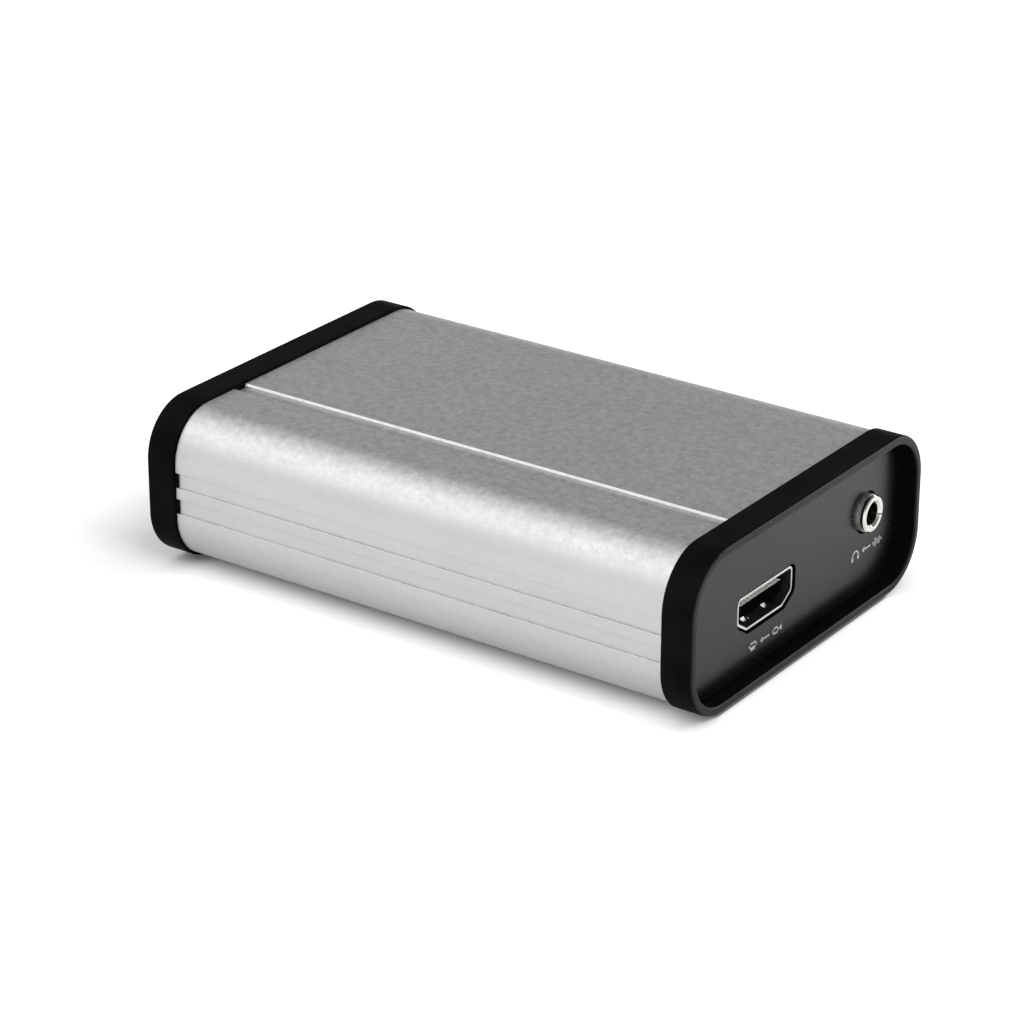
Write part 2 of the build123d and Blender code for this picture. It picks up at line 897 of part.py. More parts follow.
with BuildPart() as data_strips:
    for level, contact_y in data_contact_places():
        groove_z = data_z + level * (data_tongue_height / 2 - contact_groove)
        span(
            (data_rear, -data_face + data_tongue_tip_depth + data_tip_gap + contact_side_gap),
            (contact_y - data_contact_width / 2, contact_y + data_contact_width / 2),
            (groove_z, groove_z + level * data_contact_thickness),
        )
save(data_strips, "data_socket_contacts")

# Status light on the board and the clear pipe that carries its light to the rear panel
with BuildPart() as status_light:
    chip(-light_x, light_place, light_size, light_size / 2, board_top, light_height)
save(status_light, "status_light")

with BuildPart() as light_pipe:
    chip(-light_x, light_place, pipe_block, pipe_block, board_top, pipe_block_height)
    chip(
        -light_x,
        light_place,
        light_size + 2 * pipe_slot_gap,
        pipe_block + cut_over,
        board_top,
        light_height + pipe_slot_gap,
        Mode.SUBTRACT,
    )
    rod(-panel_face - pipe_proud, panel_face + pipe_proud - light_x, light_place, pipe_z, pipe_radius)
save(light_pipe, "light_pipe")

# Receiver chip behind the video socket, with bent leads on its four sides
contact_feet_end = video_rear - contact_tail_gap - contact_tail_step - contact_foot
array_x = contact_feet_end - array_gap - array_width / 2
receiver_x = array_x - array_width / 2 - array_gap - lead_reach - receiver_size / 2
with BuildPart() as receiver:
    chip(
        receiver_x,
        receiver_place,
        receiver_size,
        receiver_size,
        board_top + receiver_standoff,
        receiver_height,
    )
    chamfer(receiver.edges().filter_by(Axis.Z), lead_width)
save(receiver, "receiver_chip")

with BuildPart() as lead:
    lead_z = board_top + receiver_height / 2
    root = receiver_size / 2
    bend = root + lead_reach - lead_foot
    lead_profile = [
        (root, lead_z),
        (bend, lead_z),
        (bend, board_top),
        (bend + lead_foot, board_top),
        (bend + lead_foot, board_top + lead_thickness),
        (bend + lead_thickness, board_top + lead_thickness),
        (bend + lead_thickness, lead_z + lead_thickness),
        (root, lead_z + lead_thickness),
    ]
    plate(lead_profile, 0, lead_width)

with BuildPart() as leads:
    for quarter in range(4):
        turned = Location((receiver_x, receiver_place, 0), (0, 0, 90 * quarter))
        for index in range(lead_count):
            along_side = (index - (lead_count - 1) / 2) * lead_pitch
            add(lead.part.moved(turned * Location((0, along_side, 0))))
save(leads, "receiver_leads")

# Capture chip with its heat sink
capture_x = receiver_x - receiver_size / 2 - lead_reach - part_gap - capture_size / 2
with BuildPart() as capture:
    chip(capture_x, capture_place, capture_size, capture_size, board_top, capture_base_height)
    cap_size = capture_size - 2 * capture_cap_inset
    cap_z = board_top + capture_base_height
    chip(capture_x, capture_place, cap_size, cap_size, cap_z, capture_height - capture_base_height)
save(capture, "capture_chip")

with BuildPart() as tape:
    cap_top = board_top + capture_height
    tape_size = capture_size - 2 * capture_cap_inset - 2 * tape_inset
    chip(capture_x, capture_place, tape_size, tape_size, cap_top, tape_thickness)
save(tape, "thermal_tape")

with BuildPart() as heat_sink:
    sink_z = board_top + capture_height + tape_thickness
    chip(capture_x, capture_place, sink_size, sink_size, sink_z, sink_base)
    fin_pitch = (sink_size - sink_fin_thickness) / (sink_fins - 1)
    for index in range(sink_fins):
        fin_y = capture_place + (index - (sink_fins - 1) / 2) * fin_pitch
        chip(capture_x, fin_y, sink_size, sink_fin_thickness, sink_z, sink_height)
save(heat_sink, "heat_sink")

# Memory, flash and audio chips
with BuildPart() as memory:
    chip(capture_x, memory_place, memory_length, memory_width, board_top, memory_height)
    chamfer(memory.edges().group_by(Axis.Z)[-1], lead_thickness)
save(memory, "memory_chip")

flash_x = receiver_x
with BuildPart() as flash:
    chip(flash_x, flash_place, flash_length, flash_width, board_top, flash_height)
    for side in (-1, 1):
        for index in range(flash_pin_count):
            pin_x = flash_x + (index - (flash_pin_count - 1) / 2) * flash_pin_pitch
            pin_y = flash_place + side * (flash_width + flash_pin_reach) / 2
            chip(pin_x, pin_y, flash_pin_width, flash_pin_reach, board_top, flash_pin_thickness)
save(flash, "flash_chip")

codec_x = jack_body_back - part_gap - codec_size / 2
with BuildPart() as codec:
    chip(codec_x, jack_place, codec_size, codec_size, board_top, codec_height)
    chamfer(codec.edges().filter_by(Axis.Z), lead_width)
save(codec, "audio_chip")

# Crystal in its can
with BuildPart() as crystal:
    with BuildSketch(Plane.XY.offset(board_top)) as crystal_foot:
        with Locations((capture_x, crystal_place)):
            Rectangle(crystal_length, crystal_width)
    extrude(crystal_foot.sketch, amount=crystal_base)
    with BuildSketch(Plane.XY.offset(board_top + crystal_base)) as crystal_can:
        with Locations((capture_x, crystal_place)):
            SlotOverall(crystal_length - 2 * lead_width, crystal_width - 2 * lead_width)
    extrude(crystal_can.sketch, amount=crystal_height - crystal_base)
save(crystal, "crystal")

# Power parts near the rear end
with BuildPart() as capacitors:
    for step in (0, 1):
        can_x = -board_half + capacitor_inset + step * capacitor_pitch
        base_size = 2 * capacitor_radius + lead_width
        chip(can_x, capacitor_place, base_size, base_size, board_top, capacitor_base)
        with Locations((can_x, capacitor_place, board_top + capacitor_base)):
            Cylinder(
                capacitor_radius,
                capacitor_height - capacitor_base,
                align=(Align.CENTER, Align.CENTER, Align.MIN),
            )
    fillet(capacitors.edges().group_by(Axis.Z)[-1], capacitor_round)
save(capacitors, "capacitors")

with BuildPart() as inductors:
    for step in (0, 1):
        core_y = inductor_place + step * inductor_pitch
        core_x = -board_half + inductor_inset
        chip(core_x, core_y, inductor_size, inductor_size, board_top, inductor_height)
        with Locations((core_x, core_y, board_top + inductor_height)):
            Cylinder(
                inductor_core_radius,
                inductor_core_height,
                align=(Align.CENTER, Align.CENTER, Align.MIN),
            )
save(inductors, "inductors")

with BuildPart() as regulator:
    regulator_x = -board_half + regulator_inset
    chip(regulator_x, regulator_place, regulator_length, regulator_width, board_top, regulator_height)
    tab_x = regulator_x + regulator_length / 2 + regulator_tab / 2
    chip(tab_x, regulator_place, regulator_tab, regulator_width / 2, board_top, regulator_tab_height)
    for index in (-1, 0, 1):
        pin_x = regulator_x - regulator_length / 2 - flash_pin_reach / 2
        pin_y = regulator_place + index * regulator_width / 3
        chip(pin_x, pin_y, flash_pin_reach, flash_pin_width, board_top, flash_pin_thickness)
save(regulator, "regulator")

# Small chip capacitors behind the capture chip, and the socket's protection arrays
with BuildPart() as passives:
    passive_x = capture_x - capture_size / 2 - part_gap
    for row in range(passive_rows):
        for column in range(passive_columns):
            part_x = passive_x - row * passive_pitch
            part_y = capture_place + (column - (passive_columns - 1) / 2) * passive_pitch
            chip(part_x, part_y, passive_length, passive_width, board_top, passive_height)
save(passives, "chip_capacitors")

with BuildPart() as arrays:
    for side in (-1, 1):
        array_y = video_place + side * array_pitch / 2
        chip(array_x, array_y, array_width, array_length, board_top, array_height)
save(arrays, "protection_arrays")
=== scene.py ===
import json
import math

import bmesh
import bpy
from mathutils import Matrix, Vector

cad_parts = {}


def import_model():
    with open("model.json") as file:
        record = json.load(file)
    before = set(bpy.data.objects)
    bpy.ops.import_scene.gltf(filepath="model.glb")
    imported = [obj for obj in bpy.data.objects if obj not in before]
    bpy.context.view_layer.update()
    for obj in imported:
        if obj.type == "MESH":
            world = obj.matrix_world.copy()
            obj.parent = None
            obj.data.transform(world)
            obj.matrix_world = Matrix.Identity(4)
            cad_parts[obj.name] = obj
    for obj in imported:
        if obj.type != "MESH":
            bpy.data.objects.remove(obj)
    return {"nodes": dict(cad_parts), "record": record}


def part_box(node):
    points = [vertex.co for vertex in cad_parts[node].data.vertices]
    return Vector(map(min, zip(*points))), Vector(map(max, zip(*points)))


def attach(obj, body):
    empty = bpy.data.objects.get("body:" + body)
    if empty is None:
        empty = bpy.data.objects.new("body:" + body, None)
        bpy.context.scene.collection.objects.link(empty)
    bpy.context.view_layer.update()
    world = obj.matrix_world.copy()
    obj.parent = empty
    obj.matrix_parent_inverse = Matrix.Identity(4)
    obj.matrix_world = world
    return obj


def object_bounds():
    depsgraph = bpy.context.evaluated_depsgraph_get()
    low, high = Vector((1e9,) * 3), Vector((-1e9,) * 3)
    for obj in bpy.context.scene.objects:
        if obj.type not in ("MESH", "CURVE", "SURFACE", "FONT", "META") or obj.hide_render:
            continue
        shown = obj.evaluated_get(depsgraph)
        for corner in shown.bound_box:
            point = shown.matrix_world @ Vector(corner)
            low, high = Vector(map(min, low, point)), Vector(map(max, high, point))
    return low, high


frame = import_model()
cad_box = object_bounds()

# The looks of a video capture box: aluminium tube, black bezels, black panels and its sockets.
# Metres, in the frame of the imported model. Names that end in _MM or _px hold millimetres or pixels.

MM = 0.001

# Limits for the parts of a face's unit normal, along the box (X) and upward (Z)
ALONG = 0.5
ACROSS = 0.2
UP = 0.9
SLOPE = 0.3

# Where the faces lie that get a material of their own
RIM_BAND = 0.5 * MM
TONGUE_BAND = 0.3 * MM
MOUTH_BAND = 0.2 * MM
NOSE_WALL = 2.6 * MM
NOSE_BARREL = 0.73 * MM

# Noise lies mostly between these two values
NOISE_LOW = 0.3
NOISE_HIGH = 0.7

# Printed signs on the front panel
INK_HEIGHT = 0.02 * MM
INK_LINE_MM = 0.27
HALF_RING_STEPS = 14
ARROW_MM = 2.5
ARROW_HEAD_SHARE = 0.62
SOUND_BARS_MM = (0.5, 1.5, 0.9, 1.3, 0.4)

# The floor's painted light at some distances from the box, as pairs of millimetres and brightness:
# the painted glow that the camera sees, the painted sheen that shiny faces reflect, and the painted
# shadow taken off behind the rear end
FLOOR_PAINTED_GLOW = (
    (0.0, 0.0),
    (2.5, 0.12),
    (5.0, 0.28),
    (7.5, 0.39),
    (10.0, 0.48),
    (20.0, 0.62),
    (60.0, 0.66),
)
FLOOR_PAINTED_SHEEN = ((0.0, 0.0), (9.0, 0.08), (34.0, 0.46), (60.0, 0.46))
FLOOR_PAINTED_SHADOW = (
    (0.0, 0.0),
    (5.0, 0.18),
    (10.0, 0.22),
    (18.0, 0.2),
    (26.0, 0.15),
    (36.0, 0.06),
    (60.0, 0.0),
)

# Where the floor's shade starts, from the middle of the box, how fast the painted glow ends it past
# there, and where the painted shadow behind the rear end starts
SIDE_START = 23.9 * MM
REAR_START = 49.0 * MM
REAR_STEEPNESS = 0.45
PAINTED_SHADOW_START = 43.0 * MM
FRONT_START = 48.8 * MM
FRONT_STEEPNESS = 60.0

# Further aside from the front corners, the painted glow ends the front shade sooner and more softly
FRONT_CORNER = 0.5
CORNER_SOFTNESS = 3 / MM

# The studio's colours, and where they change with height and with the way to its front
WORLD_LOW = (1.0, 1.0, 1.0)
WORLD_BACK = (0.205, 0.225, 0.22)
WORLD_FRONT = (0.94, 0.94, 0.94)
WORLD_RISE = (0.04, 0.40)
WORLD_TURN = (0.0, 0.5)
FRONT_WAY = (-0.33, -0.80, 0.50)

nodes = frame["nodes"]
panel_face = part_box("front_panel")[1][0]


# Camera, at the photograph's angle
def place_camera():
    focal_px = 3462.5
    image_px = 1024
    shift_px = (-21.18, -20.22)
    sensor = 36.0
    azimuth = math.radians(34.787)
    elevation = math.radians(23.884)
    roll = math.radians(0.296)
    distance = 530.49 * MM
    target = Vector((0, 0, 13.8 * MM))
    nearest = 0.01
    furthest = 20
    right = Vector((math.cos(azimuth), math.sin(azimuth), 0))
    back = Vector(
        (
            math.sin(azimuth) * math.cos(elevation),
            -math.cos(azimuth) * math.cos(elevation),
            math.sin(elevation),
        )
    )
    up = back.cross(right)
    rolled_right = math.cos(roll) * right + math.sin(roll) * up
    rolled_up = math.cos(roll) * up - math.sin(roll) * right
    data = bpy.data.cameras.new("camera")
    data.sensor_width = sensor
    data.lens = focal_px * sensor / image_px
    data.shift_x = shift_px[0] / image_px
    data.shift_y = shift_px[1] / image_px
    data.clip_start = nearest
    data.clip_end = furthest
    camera = bpy.data.objects.new("camera", data)
    matrix = Matrix((rolled_right, rolled_up, back)).transposed().to_4x4()
    matrix.translation = target + distance * back
    camera.matrix_world = matrix
    bpy.context.scene.collection.objects.link(camera)
    bpy.context.scene.camera = camera


# Shader helpers
class Shader:
    """A material's node tree, with short calls for the nodes used here."""

    def __init__(self, name):
        self.material = bpy.data.materials.new(name)
        self.material.use_nodes = True
        self.tree = self.material.node_tree
        self.surface = self.tree.nodes["Principled BSDF"]
        self.coordinates = self.tree.nodes.new("ShaderNodeTexCoord")

    def set(self, **values):
        for key, value in values.items():
            self.surface.inputs[key.replace("_", " ")].default_value = value

    def link(self, output, node, name):
        self.tree.links.new(output, node.inputs[name])

    def point(self, scale):
        """Places on the object in metres, stretched by scale."""
        node = self.tree.nodes.new("ShaderNodeMapping")
        node.inputs["Scale"].default_value = scale
        self.link(self.coordinates.outputs["Object"], node, "Vector")
        return node.outputs["Vector"]

    def axes(self, source):
        """The three parts of a texture coordinate."""
        node = self.tree.nodes.new("ShaderNodeSeparateXYZ")
        self.link(self.coordinates.outputs[source], node, "Vector")
        return node.outputs

    def noise(self, size, detail=2.0, rough=0.5, stretch=(1, 1, 1)):
        """Noise with blobs about size metres across, from 0 to 1."""
        node = self.tree.nodes.new("ShaderNodeTexNoise")
        node.inputs["Scale"].default_value = 1 / size
        node.inputs["Detail"].default_value = detail
        node.inputs["Roughness"].default_value = rough
        self.link(self.point(stretch), node, "Vector")
        return node.outputs["Fac"]

    def remap(self, value, low, high, to_low=0.0, to_high=1.0):
        node = self.tree.nodes.new("ShaderNodeMapRange")
        node.inputs["From Min"].default_value = low
        node.inputs["From Max"].default_value = high
        node.inputs["To Min"].default_value = to_low
        node.inputs["To Max"].default_value = to_high
        self.link(value, node, "Value")
        return node.outputs["Result"]

    def spread(self, noise, to_low=0.0, to_high=1.0):
        """Noise drawn out to a range of its own."""
        return self.remap(noise, NOISE_LOW, NOISE_HIGH, to_low, to_high)

    def math(self, operation, first, second):
        node = self.tree.nodes.new("ShaderNodeMath")
        node.operation = operation
        for index, value in enumerate((first, second)):
            if isinstance(value, (int, float)):
                node.inputs[index].default_value = value
            else:
                self.tree.links.new(value, node.inputs[index])
        return node.outputs["Value"]

    def size_of(self, value):
        """A value without its sign."""
        return self.math("ABSOLUTE", value, 0.0)

    def beyond(self, value, limit):
        """How far a value lies past a limit, or zero."""
        return self.math("MAXIMUM", self.math("SUBTRACT", value, limit), 0.0)

    def mix(self, factor, first, second):
        """A colour between two colours; each is a tuple or another node's output."""
        node = self.tree.nodes.new("ShaderNodeMix")
        node.data_type = "RGBA"
        for name, value in (("A", first), ("B", second)):
            socket = next(s for s in node.inputs if s.name == name and s.type == "RGBA")
            if isinstance(value, tuple):
                socket.default_value = (*value, 1)
            else:
                self.tree.links.new(value, socket)
        self.tree.links.new(factor, node.inputs[0])
        return next(s for s in node.outputs if s.type == "RGBA")

    def colour(self, output):
        self.link(output, self.surface, "Base Color")

    def roughness(self, output):
        self.link(output, self.surface, "Roughness")

    def bump(self, height, depth):
        """Bump from a height of 0 to 1 that stands depth metres tall, over any bump before it."""
        node = self.tree.nodes.new("ShaderNodeBump")
        node.inputs["Strength"].default_value = 1.0
        node.inputs["Distance"].default_value = depth
        self.link(height, node, "Height")
        before = self.surface.inputs["Normal"].links
        if before:
            self.tree.links.new(before[0].from_socket, node.inputs["Normal"])
        self.link(node.outputs["Normal"], self.surface, "Normal")


# Materials
def aluminium():
    """Fine blasted and clear anodised aluminium.

    Its grain is sharp on level faces and soft on upright ones, and faint lines run along the tube.
    """
    dark = (0.46, 0.468, 0.461)
    light = (0.73, 0.738, 0.73)
    facing_range = (0.5, 0.95)
    upright_share = 0.12
    grain_share = 0.25
    speckle_share = 0.65
    cloud_share = 0.07
    line_share = 0.06
    gloss_range = (0.44, 0.56)
    relief = 0.006 * MM
    shader = Shader("blasted_aluminium")
    shader.set(Metallic=1.0)
    facing_up = shader.size_of(shader.axes("Normal")["Z"])
    sharpness = shader.remap(facing_up, *facing_range, upright_share, 1.0)
    grain = shader.noise(size=0.45 * MM, detail=2.0, rough=0.6)
    speckle = shader.noise(size=1.1 * MM, detail=3.0, rough=0.65)
    cloud = shader.noise(size=9 * MM, detail=3.0, rough=0.5)
    lines = shader.noise(size=1.4 * MM, detail=2.0, rough=0.5, stretch=(0.03, 1, 1))
    grain_tone = shader.spread(grain, -grain_share, grain_share)
    speckle_tone = shader.spread(speckle, -speckle_share, speckle_share)
    tone = shader.math("MULTIPLY", shader.math("ADD", grain_tone, speckle_tone), sharpness)
    tone = shader.math("ADD", tone, shader.spread(cloud, -cloud_share, cloud_share))
    tone = shader.math("ADD", tone, shader.spread(lines, -line_share, line_share))
    shader.colour(shader.mix(shader.remap(tone, -1.0, 1.0), dark, light))
    shader.roughness(shader.spread(grain, *gloss_range))
    shader.bump(speckle, relief)
    shader.bump(grain, relief)
    return shader.material


def moulded(name, colour, rough, grain=0.25 * MM, depth=0.006 * MM, spread=0.3, specular=0.5):
    """Moulded plastic with a fine texture, faint clouds and slightly uneven gloss."""
    uneven_gloss = 0.05
    shader = Shader(name)
    shader.set(Specular_IOR_Level=specular)
    texture = shader.noise(grain, detail=2.0, rough=0.6)
    cloud = shader.noise(size=6 * MM, detail=3.0, rough=0.5)
    dark = tuple(c * (1 - spread) for c in colour)
    light = tuple(c * (1 + spread) for c in colour)
    shader.colour(shader.mix(shader.spread(cloud), dark, light))
    shader.roughness(shader.spread(texture, rough - uneven_gloss, rough + uneven_gloss))
    shader.bump(texture, depth)
    return shader.material


def metal(name, colour, rough, stretch=(1, 1, 1), depth=0.002 * MM, grain=0.3 * MM):
    """Plated or rolled metal, with fine lines where stretch draws them out."""
    stain_share = 0.85
    stain_range = (0.35, 0.7)
    smoother, rougher = 0.8, 1.25
    shader = Shader(name)
    shader.set(Metallic=1.0)
    lines = shader.noise(grain, detail=3.0, rough=0.6, stretch=stretch)
    stain = shader.noise(size=2.5 * MM, detail=3.0, rough=0.5)
    stained = tuple(c * stain_share for c in colour)
    shader.colour(shader.mix(shader.remap(stain, *stain_range), colour, stained))
    shader.roughness(shader.spread(lines, rough * smoother, rough * rougher))
    shader.bump(lines, depth)
    return shader.material


def board_material():
    """Green solder mask over copper traces and pads."""
    mask_green = (0.012, 0.11, 0.045)
    trace_green = (0.02, 0.17, 0.07)
    weave_green = (0.03, 0.10, 0.04)
    trace_pitch = 2.2 * MM
    trace_width_share = 0.06
    trace_softness = 0.1
    weave_range = (0.35, 0.75)
    weave_share = 0.25
    shader = Shader("circuit_board")
    weave = shader.noise(size=0.35 * MM, detail=1.0)
    node = shader.tree.nodes.new("ShaderNodeTexBrick")
    node.inputs["Scale"].default_value = 1 / trace_pitch
    node.inputs["Mortar Size"].default_value = trace_width_share
    node.inputs["Mortar Smooth"].default_value = trace_softness
    shader.link(shader.point((1, 1, 0)), node, "Vector")
    traces = node.outputs["Fac"]
    mask = shader.mix(traces, mask_green, trace_green)
    woven = shader.remap(weave, *weave_range, 0.0, weave_share)
    shader.colour(shader.mix(woven, mask, weave_green))
    shader.roughness(shader.spread(weave, to_low=0.25, to_high=0.35))
    shader.bump(traces, depth=0.035 * MM)
    shader.bump(weave, depth=0.003 * MM)
    return shader.material


def film():
    """Amber insulating film."""
    dark = (0.62, 0.34, 0.06)
    light = (0.72, 0.45, 0.12)
    shader = Shader("insulating_film")
    cloud = shader.noise(size=4 * MM, detail=3.0)
    shader.colour(shader.mix(cloud, dark, light))
    shader.roughness(shader.spread(cloud, to_low=0.18, to_high=0.3))
    shader.bump(cloud, depth=0.05 * MM)
    return shader.material


def lens():
    """Clear moulded light pipe."""
    clear = (0.88, 0.92, 0.93)
    hazy = (0.80, 0.86, 0.88)
    shader = Shader("clear_light_pipe")
    shader.set(Transmission_Weight=0.85, IOR=1.49)
    haze = shader.noise(size=1.2 * MM, detail=2.0)
    shader.colour(shader.mix(haze, clear, hazy))
    shader.roughness(shader.spread(haze, to_low=0.08, to_high=0.2))
    shader.bump(haze, depth=0.02 * MM)
    return shader.material


def slot_materials():
    """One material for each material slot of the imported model."""
    drawn = (0.1, 1, 1)
    black = (0.0058, 0.0058, 0.0059)
    panel_black = (0.003, 0.003, 0.0031)
    socket_black = (0.0025, 0.0025, 0.0025)
    rubber_black = (0.02, 0.02, 0.02)
    rubber_relief = 0.02 * MM
    return {
        "tube": aluminium(),
        "bezel": moulded("bezel_plastic", black, rough=0.5, specular=0.01),
        "panel": moulded("panel_plastic", panel_black, rough=0.27, specular=0.36),
        "screw": metal("dark_zinc", (0.30, 0.30, 0.31), rough=0.35),
        "foot": moulded("foot_rubber", rubber_black, rough=0.75, grain=0.4 * MM, depth=rubber_relief),
        "board": board_material(),
        "sheet": film(),
        "socket_steel": metal("tinned_steel", (0.76, 0.76, 0.75), rough=0.22, stretch=drawn),
        "socket_plastic": moulded("socket_moulding", socket_black, rough=0.6, specular=0.0),
        "contact": metal("pale_gold_plating", (0.98, 0.94, 0.86), rough=0.8, stretch=drawn),
        "jack_plastic": moulded("jack_moulding", (0.012, 0.012, 0.012), rough=0.45),
        "nickel": metal("nickel_plating", (0.80, 0.78, 0.74), rough=0.12, depth=0.001 * MM),
        "chip": moulded("chip_compound", (0.02, 0.02, 0.022), rough=0.55, grain=0.12 * MM),
        "lead": metal("tinned_leads", (0.78, 0.78, 0.77), rough=0.28),
        "tape": moulded("thermal_pad", (0.70, 0.70, 0.67), rough=0.7, spread=0.05),
        "sink": metal(
            "black_anodised", (0.05, 0.05, 0.055), rough=0.45, stretch=(0.05, 1, 1), depth=0.01 * MM
        ),
        "can": metal("bright_can", (0.80, 0.80, 0.81), rough=0.25),
        "ferrite": moulded(
            "ferrite", (0.05, 0.047, 0.045), rough=0.6, grain=0.15 * MM, depth=0.02 * MM
        ),
        "ceramic": moulded("ceramic", (0.42, 0.30, 0.18), rough=0.35, spread=0.12),
        "lens": lens(),
        "lamp": moulded("lamp_body", (0.75, 0.74, 0.66), rough=0.3, spread=0.04),
    }


def dress_nodes():
    """Gives each node the material of its slot."""
    materials = slot_materials()
    slot_of = {entry["node"]: entry["material_slot"] for entry in frame["record"]["subparts"]}
    for name, obj in nodes.items():
        for slot in obj.material_slots:
            slot.material = materials[slot_of[name]]


def dress_faces(name, material, picked):
    """Gives a material to the faces of a node that picked says yes to."""
    mesh = nodes[name].data
    mesh.materials.append(material)
    last = len(mesh.materials) - 1
    for face in mesh.polygons:
        if picked(face):
            face.material_index = last


def dress_bezel_rims():
    """The bezels' outer rims are smooth, and the rest of the bezels is textured."""
    colour = (0.003, 0.003, 0.0031)
    rim = moulded("bezel_rim", colour, rough=0.3, depth=0.003 * MM, specular=0.15)
    rim_start = cad_box[1][0] - RIM_BAND

    def picked(face):
        return abs(face.normal.x) > ALONG and abs(face.center.x) > rim_start

    for name in ("front_bezel", "rear_bezel"):
        dress_faces(name, rim, picked)


def dress_video_socket():
    """The tongue's top, where its contacts lie, is painted pale as painted light, and the spring
    fingers are painted bright as painted highlights.

    The shell is painted dark inside as painted shade, apart from its ceiling and its mouth.
    """
    # Painted light: a pale material on the tongue's top for the light that falls on it through the
    # mouth
    tongue_painted_light = moulded("tongue_painted_light_moulding", (0.92, 0.92, 0.91), rough=0.5, spread=0.05)
    contacts_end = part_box("video_socket_contacts")[1][0]
    insert_faces = nodes["video_socket_insert"].data.polygons
    top = max(face.center.z for face in insert_faces if face.center.x > contacts_end)

    def on_tongue(face):
        return face.normal.z > UP and abs(face.center.z - top) < TONGUE_BAND

    dress_faces("video_socket_insert", tongue_painted_light, on_tongue)

    # Painted highlight: the fingers get a brighter copy of the shell's steel for their glints
    bright = metal("spring_steel_painted_highlight", (0.97, 0.97, 0.96), rough=0.42)
    for name, obj in nodes.items():
        if name.startswith("video_finger"):
            obj.material_slots[0].material = bright

    # Painted shade: dark steel on the shell's inner walls and floor
    shell_painted_shade = metal("steel_painted_shade", (0.06, 0.06, 0.058), rough=0.5)
    low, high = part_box("video_socket_shell")
    middle = (Vector(low) + Vector(high)) / 2
    mouth_start = high[0] - MOUTH_BAND

    def inside(face):
        faces_middle = (face.center.y - middle.y) * face.normal.y < 0
        is_floor = face.normal.z > SLOPE and face.center.z < middle.z
        is_ceiling = face.normal.z <= -SLOPE
        runs_along = abs(face.normal.x) < ACROSS
        is_painted_shade = (faces_middle or is_floor) and not is_ceiling
        return is_painted_shade and runs_along and face.center.x < mouth_start

    dress_faces("video_socket_shell", shell_painted_shade, inside)


def dress_jack_nose():
    """The groove and the rim's edge of the jack's nose are painted dark as painted shade, and its
    barrel is satin.
    """
    # Painted shade: near-black metal in the groove and on the rim's edge
    shade = metal("groove_painted_shade", (0.03, 0.03, 0.03), rough=0.5)
    satin = metal("satin_nickel", (0.86, 0.85, 0.82), rough=0.55)
    low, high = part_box("audio_jack_nose")
    centre = (Vector(low) + Vector(high)) / 2
    barrel_end = high[0] - NOSE_BARREL

    def outside(face):
        return math.hypot(face.center.y - centre.y, face.center.z - centre.z) > NOSE_WALL

    def on_barrel(face):
        return outside(face) and face.center.x < barrel_end

    def on_edge(face):
        return outside(face) and face.center.x >= barrel_end and abs(face.normal.x) < ALONG

    dress_faces("audio_jack_nose", shade, on_edge)
    dress_faces("audio_jack_nose", satin, on_barrel)


# Printed signs on the front panel, which show what goes into each socket. Their sizes and places
# are in millimetres, across and up.
def ink_shape(mesh, points):
    """A flat convex patch of ink on the panel."""
    front = [mesh.verts.new((panel_face + INK_HEIGHT, y * MM, z * MM)) for y, z in points]
    back = [mesh.verts.new((panel_face, y * MM, z * MM)) for y, z in points]
    mesh.faces.new(front)
    mesh.faces.new(back[::-1])
    for index in range(len(points)):
        after = (index + 1) % len(points)
        mesh.faces.new((front[index], back[index], back[after], front[after]))


def ink_bar(mesh, left, right, low, high):
    ink_shape(mesh, [(left, low), (right, low), (right, high), (left, high)])


def ink_frame(mesh, left, right, low, high):
    ink_bar(mesh, left, right, low, low + INK_LINE_MM)
    ink_bar(mesh, left, right, high - INK_LINE_MM, high)
    ink_bar(mesh, left, left + INK_LINE_MM, low, high)
    ink_bar(mesh, right - INK_LINE_MM, right, low, high)


def ink_half_ring(mesh, y, z, radius):
    """The upper half of a ring."""
    inner = radius - INK_LINE_MM
    for step in range(HALF_RING_STEPS):
        start, end = (math.pi * angle / HALF_RING_STEPS for angle in (step, step + 1))
        ink_shape(
            mesh,
            [
                (y + inner * math.cos(start), z + inner * math.sin(start)),
                (y + radius * math.cos(start), z + radius * math.sin(start)),
                (y + radius * math.cos(end), z + radius * math.sin(end)),
                (y + inner * math.cos(end), z + inner * math.sin(end)),
            ],
        )


def ink_arrow(mesh, tip, middle, head):
    """An arrow from the right to its tip at the left, which is the way that the signal goes in."""
    head_end = tip + head * ARROW_HEAD_SHARE
    half_line = INK_LINE_MM / 2
    ink_bar(mesh, tip + head / 2, tip + ARROW_MM, middle - half_line, middle + half_line)
    ink_shape(mesh, [(tip, middle), (head_end, middle - head / 2), (head_end, middle + head / 2)])


def ink_screen(mesh, left, right, low, high):
    """A screen on its stand."""
    stand_height = 0.3
    foot_inset = 0.5
    post_inset = 0.95
    ink_frame(mesh, left, right, low + stand_height, high)
    ink_bar(mesh, left + foot_inset, right - foot_inset, low, low + INK_LINE_MM)
    ink_bar(mesh, left + post_inset, right - post_inset, low + INK_LINE_MM, low + stand_height)


def ink_camera(mesh, left, right, low, high):
    """A camera's body, with its lens at the right."""
    body_inset = 0.1
    lens_start = right + 0.1
    lens_end = right + 0.85
    lens_inset = 0.15
    ink_frame(mesh, left, right, low + body_inset, high - body_inset)
    ink_shape(
        mesh,
        [(lens_start, (low + high) / 2), (lens_end, low + lens_inset), (lens_end, high - lens_inset)],
    )


